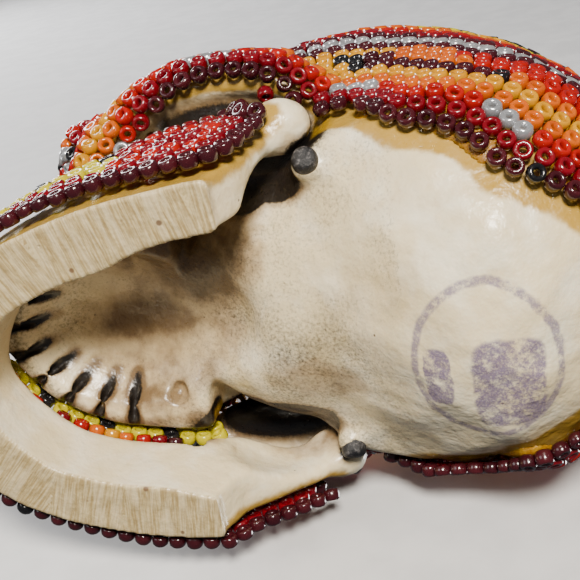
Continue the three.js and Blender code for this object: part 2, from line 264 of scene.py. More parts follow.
def skin(grid, values, level=0.0):
    """The quads where the values cross a level, facing out."""
    made = vdb.FloatGrid(float(values.max()))
    made.transform = grid.transform
    made.copyFromArray(
        np.ascontiguousarray(values, np.float32), ijk=tuple(int(n) for n in grid.start))
    points, quads = made.convertToQuads(level)
    a, b, c = points[quads[:, 0]], points[quads[:, 1]], points[quads[:, 2]]
    volume = np.einsum("ij,ij->i", a, np.cross(b, c)).sum()
    return points.astype(float), quads[:, ::-1] if volume < 0 else quads


def largest(points, faces):
    """Only the biggest connected piece."""
    label = np.arange(len(points))
    while True:
        low = label[faces].min(axis=1)
        new = label.copy()
        np.minimum.at(new, faces.ravel(), np.repeat(low, faces.shape[1]))
        new = new[new]
        if (new == label).all():
            break
        label = new
    names, counts = np.unique(label[faces[:, 0]], return_counts=True)
    keep = faces[label[faces[:, 0]] == names[counts.argmax()]]
    used, flat = np.unique(keep, return_inverse=True)
    return points[used], flat.reshape(keep.shape)


# ------------------------------------------------------------------ making objects
def build(name, points, faces, materials, smooth=True, indexes=None, **values):
    """A mesh object from millimetre points, with per-vertex values for its material."""
    mesh = bpy.data.meshes.new(name)
    size = faces.shape[1]
    mesh.vertices.add(len(points))
    mesh.vertices.foreach_set("co", (points * MM).astype(np.float32).ravel())
    mesh.loops.add(faces.size)
    mesh.loops.foreach_set("vertex_index", faces.astype(np.int32).ravel())
    mesh.polygons.add(len(faces))
    mesh.polygons.foreach_set("loop_start", np.arange(0, faces.size, size, dtype=np.int32))
    mesh.polygons.foreach_set("loop_total", np.full(len(faces), size, np.int32))
    for material in materials:
        mesh.materials.append(material)
    if indexes is not None:
        mesh.polygons.foreach_set("material_index", indexes.astype(np.int32))
    mesh.polygons.foreach_set("use_smooth", np.full(len(faces), smooth, bool))
    for key, data in values.items():
        layer = mesh.attributes.new(key, "FLOAT", "POINT")
        layer.data.foreach_set("value", np.asarray(data, np.float32))
    mesh.update(calc_edges=True)
    made = bpy.data.objects.new(name, mesh)
    bpy.context.scene.collection.objects.link(made)
    return made


# ------------------------------------------------------------------ where the beads begin
UNDERSIDE = [((0, 4 + SHIFT_Y, -13), (27, 45, 30.5))] + [
    ((side * x, y + SHIFT_Y, z), radii)
    for side in (1, -1)
    for x, y, z, radii in (
        (22, -8, 14, (9.5, 12.5, 9.5)), (18, 5, 9, (9, 9.5, 9.5)), (15.5, 13, 6, (9, 11, 7.5)))]


def nearest(axes, forms):
    """Near signed distance from the nearest of some ovals."""
    return np.minimum.reduce([oval(axes, centre, radii) for centre, radii in forms])


def edge_distance(axes):
    """Distance from the edge of the bare underside: beads where it is positive."""
    return nearest(axes, UNDERSIDE)


def columns(points):
    return points[:, 0], points[:, 1], points[:, 2]


def smooth_step(low, high, value):
    share = np.clip((value - low) / (high - low), 0, 1)
    return share * share * (3 - 2 * share)


# ------------------------------------------------------------------ the castings
HEAD_GRID = Grid((-33, -49, -2), (33, 49, 69), 0.4)
JAW_GRID = Grid((-29, -49, -2), (29, 16, 23), 0.3)
BEAD_NODES = sorted(
    name for name in nodes
    if not name.endswith(("_casting", "_coat")) and not name.startswith(("ear_plug_", "jaw_bond_")))

SLOT_CENTRE = (0.5, -22.6)
SLOT_OUTER = (13.6, 15.2)           # half sizes of the oval on which the slots begin
SLOT_INNER = 7.4
SLOT_FIRST, SLOT_STEP = 5.0, 19.0   # degrees from the midline


def tooth_slots():
    """Both ends of each slot between the upper teeth, turned evenly about the dental arch's middle."""
    slots = []
    for step in range(-5, 6):
        turn = math.radians(SLOT_FIRST + SLOT_STEP * step)
        inner = turn * 1.12 + 0.07
        reach = SLOT_INNER * (1 + 0.07 * math.sin(step * 2.3))
        ends = ((turn, *SLOT_OUTER, SLOT_DEPTHS[0]), (inner, reach, reach, SLOT_DEPTHS[1]))
        slots.append([
            (SLOT_CENTRE[0] + wide * math.sin(a), SLOT_CENTRE[1] - long * math.cos(a), depth)
            for a, wide, long, depth in ends])
    return slots


TOOTH_SLOTS = tooth_slots()

# Centres and half sizes of the small forms of the skull base.
BASE_HOLLOWS = [
    ((14.0, 1.0, 7.0), (1.2, 1.5, 1.0)), ((16.0, -1.5, 8.0), (1.0, 0.8, 1.0)),
    ((11.5, -1.0, 7.0), (1.6, 1.0, 0.9)), ((10.0, 2.5, 5.5), (0.6, 1.4, 0.8)),
    ((-9.5, -16.0, 12.0), (1.5, 1.4, 2.6)), ((4.0, 1.0, 5.5), (2.6, 1.2, 0.8)),
    ((-6.5, -3.5, 7.0), (1.6, 0.9, 1.0)), ((7.5, 24.5, 1.0), (0.6, 0.6, 0.8)),
    ((8.0, 9.5, 2.0), (1.3, 1.8, 0.8)), ((-2.0, 29.0, 0.5), (1.6, 0.9, 0.4)),
    ((-2.5, -2.0, 7.0), (1.2, 2.2, 0.7)), ((5.5, 31.5, 1.0), (0.4, 0.4, 0.5)),
    ((-6.0, 0.5, 6.5), (2.4, 1.1, 0.9)), ((-9.0, 6.5, 6.5), (1.8, 3.4, 1.1)),
]
BASE_LUMPS = [
    ((13.2, -2.8, 8.2), (1.1, 1.6, 1.1)), ((12.2, 1.2, 6.6), (0.8, 1.6, 0.7)),
    ((-4.8, 1.5, 6.2), (1.7, 1.1, 0.8)), ((-7.0, 2.9, 6.4), (1.1, 1.4, 0.8)),
    ((-3.0, 3.8, 4.6), (1.2, 0.9, 0.6)), ((7.6, -4.2, 7.9), (2.4, 1.3, 0.9)),
    ((-3.8, -7.8, 8.6), (2.2, 1.5, 0.9)), ((1.6, 4.6, 4.2), (2.6, 1.0, 0.6)),
    ((5.0, 12.6, 1.6), (2.2, 1.0, 0.5)),
]
# Ovals in the hollows between the base and each upright of the jaw, where black and brown painted shade is
# laid.
CLEFT_SHADES = [
    ((17.0, 0.6, 15.6), (2.8, 3.8, 4.4)), ((15.2, -3.6, 16.4), (2.4, 3.2, 4.0)),
    ((-15.4, -1.5, 15.0), (3.0, 5.4, 3.8)), ((-14.6, -9.5, 14.5), (2.4, 5.4, 3.4)),
]
# The bare hollow inside each cheek arch, also where brown and black painted shade is laid.
TEMPLES = [((side * 19.6, -6.5, 22.4), (5.6, 12.0, 5.6)) for side in (1, -1)]
# Broken places along the top edge of the jaw, where the mould's flash came off.
JAW_BREAKS = [
    ((-16.2, -19.5, 10.2), (1.3, 1.6, 1.2)), ((-16.4, -14.5, 10.4), (1.2, 1.4, 1.3)),
    ((-15.9, -24.0, 10.3), (1.1, 1.5, 0.9)), ((-16.0, -9.6, 12.6), (1.0, 1.7, 1.6)),
    ((15.8, -17.6, 10.2), (1.2, 1.4, 1.0)), ((-17.4, -4.0, 15.8), (1.3, 1.6, 1.4)),
]


def closed_seats(grid):
    """The ear plugs with the resin round them, up to a little past each plug's middle."""
    axes = grid.axes()
    seats = cad_distance(grid, ["ear_plug_left", "ear_plug_right"]) - 0.4
    for side, sign in (("left", 1), ("right", -1)):
        low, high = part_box("ear_plug_" + side)
        middle = [(a + b) / 2 / MM for a, b in zip(low, high)]
        way = np.array([EAR_DIRECTION[0] * sign, *EAR_DIRECTION[1:]])
        way = way / np.linalg.norm(way)
        outward = sum((axes[a] - middle[a]) * way[a] for a in range(3)) - SEAT_RISE
        seats = np.where(axes[0] * sign > 0, np.maximum(seats, outward), seats)
    return seats


def cranium_form():
    grid = HEAD_GRID
    values = cad_distance(grid, ["cranium_casting"])
    axes = grid.axes()
    values = blur(np.minimum(values, closed_seats(grid)), 1.7)
    low = smooth_step(24, 10, axes[2])
    # The palate runs softly into the base behind it.
    soft = smooth_step(1.0, -4.0, oval(axes, (0, -3, 11), (17, 13, 11)))
    values = values + (blur(values, 4.5) - values) * soft
    values = values + lumps(grid, 7.0, 3) * (0.12 + 0.22 * low) + lumps(grid, 2.6, 4) * 0.07 * low
    # The lump stands where the view would pass through the cheek hollow; its underside takes the hollow's
    # black painted shade.
    for side in (1, -1):                            # closes the top of the hollow inside each cheek arch
        values = add(values, oval(axes, (side * 21.8, -6.5, 25.8), (3.4, 9.5, 2.3)), 1.2)
    for place, radii in BASE_LUMPS:
        carve(grid, values, place, radii, 1.0, raised=True)
    for place, radii in BASE_HOLLOWS:
        carve(grid, values, place, radii, 0.8)
    for outer, inner in TOOTH_SLOTS:
        groove(grid, values, outer, inner, SLOT_RADIUS)
    for step in range(9):                           # fine ribs beside the back of the palate
        y = -14.0 + 0.66 * step
        for side in (-1, 1):
            start, end = (side * (10.8 + 0.1 * step), y, 12.2), (side * 9.2, y + 0.5, 9.2)
            groove(grid, values, start, end, 0.16, 0.15)
    return np.maximum(values, 0.02 - axes[2])


def jaw_form():
    grid = JAW_GRID
    values = cad_distance(grid, ["jaw_casting"], 9)
    bonds = cad_distance(grid, ["jaw_bond_left", "jaw_bond_right"], 9)
    foot = int(round(1.6 / grid.voxel)) - grid.start[2]
    values[:, :, :foot] = values[:, :, foot:foot + 1]
    values = blur(values, 1.5)
    axes = grid.axes()
    # The uprights are worked over by hand, so they are softer than the sawn arms, and run into the joints.
    soft = smooth_step(2.5, 8.0, axes[2]) * smooth_step(-17, -11, axes[1])
    values = values + (blur(values, 3.2) - 0.25 - values) * soft
    values = add(values, bonds + 0.2, 2.4)
    values = values + lumps(grid, 6.0, 5) * 0.18 + lumps(grid, 2.2, 6) * 0.08
    for place, radii in JAW_BREAKS:
        carve(grid, values, place, radii, 0.35)
    return np.maximum(values, -axes[2])


head = cranium_form()
jaw = jaw_form()


def surface_values(grid, values, points):
    """How hollow the surface is at each point, finely and broadly."""
    level = grid.sample(values, points)
    fine = level - grid.sample(blur(values, 1.4 / grid.voxel), points)
    broad = level - grid.sample(blur(values, 3.5 / grid.voxel), points)
    return fine, broad


# ------------------------------------------------------------------ bead rows
def marched(points, faces, start):
    """Distance along the surface from the vertices that have a start value."""
    p = points.tolist()
    rings = [[] for _ in p]
    for a, b, c in faces.tolist():
        rings[a].append((b, c))
        rings[b].append((c, a))
        rings[c].append((a, b))
    found = [math.inf] * len(p)
    done = [False] * len(p)
    queue = []
    for vertex, value in start.items():
        found[vertex] = value
        heapq.heappush(queue, (value, vertex))

    def through(c, a, b):
        """Distance at c when the front crosses its triangle from a and b."""
        ax, ay, az = (p[a][i] - p[c][i] for i in range(3))
        bx, by, bz = (p[b][i] - p[c][i] for i in range(3))
        aa, bb = ax * ax + ay * ay + az * az, bx * bx + by * by + bz * bz
        ab = ax * bx + ay * by + az * bz
        det = aa * bb - ab * ab
        plain = min(found[a] + math.sqrt(aa), found[b] + math.sqrt(bb))
        if det < 1e-9:
            return plain
        q11, q12, q22 = bb / det, -ab / det, aa / det
        ta, tb = found[a], found[b]
        one = q11 + 2 * q12 + q22
        mixed = (q11 + q12) * ta + (q12 + q22) * tb
        both = q11 * ta * ta + 2 * q12 * ta * tb + q22 * tb * tb - 1
        root = mixed * mixed - one * both
        if root < 0:
            return plain
        value = (mixed + math.sqrt(root)) / one
        if q11 * (ta - value) + q12 * (tb - value) < 0 and q12 * (ta - value) + q22 * (tb - value) < 0:
            return min(value, plain)
        return plain

    while queue:
        value, vertex = heapq.heappop(queue)
        if done[vertex]:
            continue
        done[vertex] = True
        for one, two in rings[vertex]:
            for goal, other in ((one, two), (two, one)):
                if done[goal]:
                    continue
                if done[other]:
                    new = through(goal, vertex, other)
                else:
                    new = value + math.dist(p[vertex], p[goal])
                if new < found[goal]:
                    found[goal] = new
                    heapq.heappush(queue, (new, goal))
    return np.array(found)


def edge_start(points, faces, field):
    """Start values next to the line where the field is zero, on its positive side."""
    start = {}
    values = field[faces]
    crossing = faces[(values.min(axis=1) < 0) & (values.max(axis=1) >= 0)]
    for face in crossing:
        a, b, c = points[face]
        fa, fb, fc = field[face]
        u, v = b - a, c - a
        uu, vv, uv = u @ u, v @ v, u @ v
        det = max(uu * vv - uv * uv, 1e-9)
        slope = ((fb - fa) * (vv * u - uv * v) + (fc - fa) * (uu * v - uv * u)) / det
        size = max(np.linalg.norm(slope), 1e-6)
        for vertex, value in zip(face, (fa, fb, fc)):
            if value >= 0:
                start[int(vertex)] = min(start.get(int(vertex), 9.0), value / size)
    return start


def contours(points, faces, field, level):
    """Lines along the surface on which the field has this value."""
    above = field[faces] > level
    mixed = faces[(above.sum(axis=1) % 3) != 0]
    links = {}
    places = {}
    for face in mixed.tolist():
        ends = []
        for a, b in ((face[0], face[1]), (face[1], face[2]), (face[2], face[0])):
            if (field[a] > level) != (field[b] > level):
                key = (a, b) if a < b else (b, a)
                if key not in places:
                    share = (level - field[key[0]]) / (field[key[1]] - field[key[0]])
                    places[key] = points[key[0]] * (1 - share) + points[key[1]] * share
                ends.append(key)
        links.setdefault(ends[0], []).append(ends[1])
        links.setdefault(ends[1], []).append(ends[0])
    lines = []
    unused = set(links)
    for first in [k for k in links if len(links[k]) == 1] + list(links):
        if first not in unused:
            continue
        line = [first]
        unused.discard(first)
        while True:
            following = [k for k in links[line[-1]] if k in unused]
            if not following:
                break
            line.append(following[0])
            unused.discard(following[0])
        closed = len(line) > 3 and first in links[line[-1]]
        lines.append((np.array([places[k] for k in line]), closed))
    return lines


def eased(line, closed, rounds=12):
    """The line without its small zigzags."""
    for _ in range(rounds):
        before, after = np.roll(line, 1, axis=0), np.roll(line, -1, axis=0)
        moved = line * 0.5 + (before + after) * 0.25
        if not closed:
            moved[0], moved[-1] = line[0], line[-1]
        line = moved
    return line


class Rows:
    """Beads laid row by row on one surface, no bead on top of another."""

    def __init__(self, grid, values):
        self.grid = grid
        self.values = values
        self.cells = {}
        self.beads = []      # place, piece, colour, size

    def free(self, place, room):
        cell = tuple((place // 2.5).astype(int))
        for shift in np.ndindex(3, 3, 3):
            for other in self.cells.get(tuple(c + s - 1 for c, s in zip(cell, shift)), ()):
                if math.dist(place, other) < room:
                    return False
        return True

    def put(self, place, piece, colour, size=1.0):
        self.cells.setdefault(tuple((place // 2.5).astype(int)), []).append(tuple(place))
        self.beads.append((place, piece, colour, size))

    def lay(self, line, closed, previous, accept, dress):
        """Beads along a line, each one set between two of the previous row where it can be."""
        if closed:
            line = np.vstack([line, line[:1]])
        steps = np.linalg.norm(np.diff(line, axis=0), axis=1)
        keep = np.concatenate([[True], steps > 1e-6])
        line, steps = line[keep], steps[steps > 1e-6]
        run = np.concatenate([[0], np.cumsum(steps)])
        if run[-1] < PITCH:
            return []
        even = np.arange(0, run[-1], 0.15)
        track = np.stack([np.interp(even, run, line[:, a]) for a in range(3)], axis=1)
        targets = []
        for one, two in zip(previous[:-1], previous[1:]):
            if math.dist(one, two) < 1.5 * PITCH:
                gaps = np.linalg.norm(track - (np.array(one) + two) / 2, axis=1)
                if gaps.min() < 1.4 * PITCH:
                    targets.append(even[gaps.argmin()])
        targets = np.array(sorted(targets))
        at = targets[0] if len(targets) else PITCH / 2
        stops = []
        while at < run[-1] - (0.8 * PITCH if closed else 0.1):
            stops.append(at)
            at += PITCH
            if len(targets):
                best = targets[np.abs(targets - at).argmin()]
                if abs(best - at) < 0.3 * PITCH:
                    at = min(max(best, at - 0.03 * PITCH), at + 0.06 * PITCH)
        if closed and len(stops) > 8:
            first = stops[0]
            scale = run[-1] / (stops[-1] - first + PITCH)
            stops = [first + (s - first) * min(max(scale, 0.985), 1.03) for s in stops]
        laid = []
        for index, stop in enumerate(stops):
            place = np.array([np.interp(stop % run[-1], run, line[:, a]) for a in range(3)])
            laid.append(tuple(place))
            if not self.free(place, ROOM):
                continue
            piece = accept(place)
            if piece is None:
                continue
            self.put(place, piece, dress(place, index))
        return laid

    def follow(self, surface, field, level, previous, accept, dress, fewest=8, smoothing=12):
        """Beads along every line of the surface on which the field has this level."""
        laid = []
        for line, closed in contours(*surface, field, level):
            if len(line) >= fewest:
                laid += self.lay(eased(line, closed, smoothing), closed, previous, accept, dress)
        return laid

    def fill(self, spots, reach, start, accept, dress):
        """Single beads where the rows left room, on spots farther than the start."""
        for index in RANDOM.permutation(np.flatnonzero(reach > start)):
            place = spots[index]
            piece = accept(place) if self.free(place, FILL_ROOM) else None
            if piece:
                self.put(place, piece, dress(place, reach[index]), FILL_SIZE)


# ------------------------------------------------------------------ which CAD node a bead stands for
def node_tree():
    """A search tree over every beaded CAD node, and the node of each of its faces."""
    corners, faces, owners = [], [], []
    for name in BEAD_NODES:
        mesh = nodes[name].data
        first = len(corners)
        corners += [v.co / MM for v in mesh.vertices]
        for face in mesh.polygons:
            faces.append([first + v for v in face.vertices])
            owners.append(name)
    return BVHTree.FromPolygons(corners, faces), owners


TREE, OWNERS = node_tree()
HEAD_NODES = {n for n in BEAD_NODES if not n.startswith(("jaw_", "ramus_", "lower_", "chin_"))}


def node_at(place, reach):
    face = TREE.find_nearest(Vector(place), reach)[2]
    return OWNERS[face] if face is not None else None


def layout(grid, values, voxel, level):
    """A plain triangle surface at the bead centres."""
    coarse = coarser(grid, voxel)
    points, quads = skin(coarse, resample(grid, blur(values, 1.2), coarse), level)
    faces = np.vstack([quads[:, [0, 1, 2]], quads[:, [0, 2, 3]]])
    return largest(points, faces)


def orbit_distance(axes, growth):
    """Distance from the eye sockets."""
    radii = (6.5 + growth, 13, 6 + growth)
    return nearest(axes, [((side * 9.2, -36 + SHIFT_Y, 33), radii) for side in (1, -1)])


def palate_distance(axes):
    """Distance from the hollow inside the dental arch and the throat behind it."""
    return nearest(axes, [((0, -19, 12), (11.4, 15, 10)), ((0, -4, 12), (14, 14, 9))])


def nose_distance(axes, growth):
    """Distance from the nose opening."""
    return oval(axes, (0, -41 + SHIFT_Y, 23), (3.9 + growth, 11, 5.6 + growth))


def pick(x, *bands):
    """The colour of the band that x falls in: (upper limit, colour) pairs."""
    return next(colour for limit, colour in bands if x < limit)


def lens(y, k):
    """Three rows above the border, each changing colour from the face to the back."""
    y = y + 1.2 * math.sin(k * 2.1)
    if k == 5:
        return pick(y, (-16, "orange"), (9, "yellow"), (11, "black"), (26, "maroon"), (28, "black"),
                    (99, "orange"))
    if k == 6:
        return pick(y, (-18, "red"), (8, "yellow"), (12, "black"), (16, "maroon"), (25, "orange"),
                    (99, "red"))
    return pick(y, (-14, "crimson"), (16, "yellow"), (24, "orange"), (99, "red"))


BORDER = ["maroon", "crimson", "red", "orange", "yellow"]
BORDER_NODES = [
    "border_row_maroon", "second_row_crimson", "third_row_red", "fourth_row_orange", "fifth_row_yellow"]
UPPER = dict(enumerate((
    "maroon", "pearl", "maroon", "crimson", "red", "orange", "yellow", "lemon", "black", "maroon",
    "crimson", "red"), 8))
FACE = ["crimson", "red", "orange", "yellow", "maroon", "crimson", "pearl"]
CROWN_Y = 4 + SHIFT_Y


def field_colour(place, k):
    """The colour of a bead k rows in from the edge, above the border rows."""
    if k in (5, 6, 7):
        return lens(place[1], k)
    return UPPER.get(k, "yellow") if place[1] > -15 else FACE[k % len(FACE)]


def border_colour(k, i):
    """Five plain rows, with white trios in the third and a few black beads in the first."""
    if k == 2 and i % 9 < 3:
        return "pearl"
    return "black" if k == 0 and i % 17 == 9 else BORDER[k]


def head_beads():
    """All the beads of the cranium, in the order in which they are laid."""
    points, faces = layout(HEAD_GRID, head, 0.8, RIDE_HEIGHT)
    x, y, z = columns(points)
    rows = Rows(HEAD_GRID, head)

    def accept(place):
        name = node_at(place, 1.1)
        if name not in HEAD_NODES or nearest(place, TEMPLES) < 0.3 or edge_distance(place) < 0.4:
            return None
        beside_jaw = np.all(place > np.array([-28, -48, -1])) and np.all(place < np.array([28, 15, 22]))
        if beside_jaw and JAW_GRID.sample(jaw, np.array([place]))[0] < 1.35:
            return None
        return name

    def eye_rim(place):
        return accept(place) and ("eye_rim_left" if place[0] > 0 else "eye_rim_right")

    # Rims of the openings.
    front = points, faces[(y[faces].max(axis=1) < -18)]
    eyes = orbit_distance((x, y, z), 1.0)
    rows.follow(front, eyes, 0.7, [], eye_rim, lambda p, i: "pearl" if i % 3 else "black", 21)
    nose = nose_distance((x, y, z), 1.0)
    rows.follow(front, nose, 0.7, [], lambda p: accept(p) and "nose_rim", lambda p, i: "black", 13)
    # Teeth: two lemon rows with a dark bead between neighbouring teeth.
    arch = faces[(y[faces].max(axis=1) < -11) & (z[faces].max(axis=1) < 18.5)]
    last = []
    for level in (13.3, 15.5):
        made = []
        for line, closed in contours(points, arch, z, level):
            if len(line) > 20 and np.abs(line[:, 0]).max() > 12 or len(line) > 60:
                made += rows.lay(
                    eased(line, closed), closed, last,
                    lambda p: node_at(p, 1.6) and "upper_teeth_beads",
                    lambda p, i: "black" if i % 4 == 3 else "lemon")
        last = made
    # Rows that follow the edge of the bare underside.
    edge = edge_distance((x, y, z))
    used = faces[(edge[faces].max(axis=1) > 0)]
    travelled = marched(points, used, edge_start(points, used, edge))
    travelled = np.where(np.isfinite(travelled), travelled, -1.0)

    def ring(k, previous):
        def dress(place, i):
            if k < 5:
                return border_colour(k, i)
            if place[2] > 43 and place[1] < -16:
                return forehead_colour(place, k)
            return field_colour(place, k)

        def owner(place):
            name = accept(place)
            if name is None or k >= 5:
                return name
            if k == 0 and place[1] < 3.2 + SHIFT_Y:
                return "arch_border_row_maroon_" + ("left" if place[0] > 0 else "right")
            return BORDER_NODES[k]

        return rows.follow((points, faces), travelled, FIRST_ROW + ROW * k, previous, owner, dress)

    previous = []
    for k in range(5):
        previous = ring(k, previous)
    # Crown: a medallion of rings round its middle bead.
    away = np.sqrt(x ** 2 + (y - CROWN_Y) ** 2)
    top = points, faces[z[faces].min(axis=1) > 40]
    rows.put(np.array([0.0, CROWN_Y, z[(away < 1.5) & (z > 50)].max()]), "crown_medallion", "black")
    last = []
    for number in range(1, 8):
        last = rows.follow(top, away, 2.12 * number, last, accept,
                           lambda p, i, n=number: crown_colour(p, n), 0, 4)
    for k in range(5, 24):
        previous = ring(k, previous)
    spots = np.vstack([points, points[faces].mean(axis=1)])
    reach = np.concatenate([travelled, travelled[faces].min(axis=1)])

    def fill_colour(place, distance):
        k = int(distance / ROW)
        return BORDER[k] if k < 5 else field_colour(place, k)

    rows.fill(spots, reach, 0.8, accept, fill_colour)
    return rows


def crown_colour(place, ring):
    """Eight petals inside plain rings."""
    turn = math.atan2(place[1] - CROWN_Y, place[0])
    petal = math.cos(8 * turn) > (-0.5 + 0.28 * ring)
    if ring == 1:
        return "yellow"
    if ring <= 4:
        return ("lemon" if ring < 3 else "orange") if petal else "crimson"
    return {5: "maroon", 6: "pearl", 7: "pearl"}[ring]


def forehead_colour(place, k):
    """A diamond over the brow, made of nested outlines."""
    size = abs(place[0]) / 9.0 + abs(place[2] - 51.5) / 8.0
    return pick(size, (0.22, "black"), (0.45, "lemon"), (0.68, "orange"), (0.9, "pearl"),
                (1.12, "maroon"), (9, BORDER[k % 2 + 1]))


def softened(points, faces, inside, rounds=6):
    """A 0 to 1 mask without its ragged edge."""
    value = inside.astype(float)
    for _ in range(rounds):
        total = np.zeros(len(points))
        count = np.zeros(len(points))
        for a, b in ((0, 1), (1, 2), (2, 0)):
            np.add.at(total, faces[:, a], value[faces[:, b]])
            np.add.at(total, faces[:, b], value[faces[:, a]])
            np.add.at(count, faces[:, a], 1)
            np.add.at(count, faces[:, b], 1)
        value = 0.3 * value + 0.7 * total / np.maximum(count, 1)
    return value


def jaw_beads(taken):
    """The beads of the jaw: teeth first, then rows that follow the outline of each side."""
    points, faces = layout(JAW_GRID, jaw, 0.6, RIDE_HEIGHT)
    x, y, z = columns(points)
    rows = Rows(JAW_GRID, jaw)
    rows.cells = taken.cells

    def accept(place):
        name = node_at(place, 1.1)
        if name is None or name in HEAD_NODES:
            return None
        upright = place[1] > -13 and place[2] > 11
        if upright and abs(place[0]) < RAMUS_BEADS_START + 0.25 * (place[1] + 13):
            return None
        if place[2] < 1.7 or HEAD_GRID.sample(head, np.array([place]))[0] < 1.2:
            return None
        return name

    gap = HEAD_GRID.sample(head, points)
    beaded = np.array([node_at(point, 0.9) is not None for point in points]) & (z > 0.9) & (gap > 0.8)
    # Above the arms only the outer faces are beaded.
    outward = JAW_GRID.gradient(jaw, points)[:, 0] * np.sign(x)
    beaded &= (outward > 0.45) | (y < -15) | (z < 11)
    outer = softened(points, faces, beaded) - 0.45
    front = points, faces[(y[faces].max(axis=1) < -14.5) & (outer[faces].min(axis=1) > -0.3)]
    last = []
    for level, fourth in ((9.9, "black"), (7.9, "lemon")):
        last = rows.follow(front, z, level, last, lambda p: accept(p) and "lower_teeth_beads",
                           lambda p, i, c=fourth: c if i % 4 == 1 else "lemon", 21)
    travelled = marched(points, faces[outer[faces].max(axis=1) > 0], edge_start(points, faces, outer))
    travelled = np.where(np.isfinite(travelled), travelled, -1.0)

    def row_colour(place, i, k):
        if k == 0:
            return "black" if place[1] < -34 and i % 3 == 0 else "maroon"
        if place[1] < -15.5 and k > 1:
            return "black" if i % 7 == 3 else "lemon"
        return "crimson" if k % 2 else "red"

    previous = []
    for k in range(5):
        previous = rows.follow((points, faces), travelled, FIRST_ROW + ROW * k, previous, accept,
                               lambda p, i, k=k: row_colour(p, i, k))
    rows.fill(points, travelled, 0.85, accept, lambda p, distance: "crimson")
    return rows


# ------------------------------------------------------------------ bead meshes
def bead_template(around=14, across=10):
    """One bead about its hole's axis: a rounded tube with slightly flattened ends."""
    ring, radius = (BEAD_RADIUS - BEAD_HOLE) / 2, (BEAD_RADIUS + BEAD_HOLE) / 2
    points, faces = [], []
    for i in range(around):
        turn = 2 * math.pi * i / around
        for j in range(across):
            lean = 2 * math.pi * j / across
            c, s = math.cos(lean), math.sin(lean)
            out = radius + ring * math.copysign(abs(c) ** 0.85, c)
            rise = BEAD_HALF_HEIGHT * math.copysign(abs(s) ** 0.8, s)
            points.append((out * math.cos(turn), out * math.sin(turn), rise))
            a, b = (i + 1) % around, (j + 1) % across
            faces.append((i * across + j, a * across + j, a * across + b, i * across + b))
    return np.array(points), np.array(faces)


def make_beads(rows, paint):
    """One object for each beaded CAD node, holding all of its beads."""
    shape, shape_faces = bead_template()
    groups = {}
    for bead in rows.beads:
        groups.setdefault(bead[1], []).append(bead)
    for name, members in sorted(groups.items()):
        places = np.array([bead[0] for bead in members])
        normals = rows.grid.gradient(rows.values, places)
        normals += RANDOM.normal(0, 0.06, normals.shape)
        normals /= np.linalg.norm(normals, axis=1, keepdims=True)
        places = places + normals * RANDOM.normal(0, 0.05, (len(members), 1))
        helper = np.where(np.abs(normals[:, :1]) < 0.7, [[1.0, 0, 0]], [[0, 1.0, 0]])
        side = np.cross(helper, normals)
        side /= np.linalg.norm(side, axis=1, keepdims=True)
        third = np.cross(normals, side)
        size = np.array([bead[3] for bead in members]) * RANDOM.normal(1.0, 0.022, len(members))
        tall = size * RANDOM.normal(1.0, 0.06, len(members))
        turned = (shape[None, :, 0, None] * side[:, None] + shape[None, :, 1, None] * third[:, None])
        points = places[:, None] + turned * size[:, None, None]
        points = points + shape[None, :, 2, None] * normals[:, None] * tall[:, None, None]
        first = np.arange(len(members)) * len(shape)
        faces = (shape_faces[None] + first[:, None, None]).reshape(-1, 4)
        colours = sorted({bead[2] for bead in members})
        index = np.repeat([colours.index(bead[2]) for bead in members], len(shape_faces))
        tint = np.repeat(RANDOM.random(len(members)), len(shape))
        made = build(name + "_glass", points.reshape(-1, 3), faces, [paint[c] for c in colours],
                     indexes=index, tint=tint)
        settle(made, name)


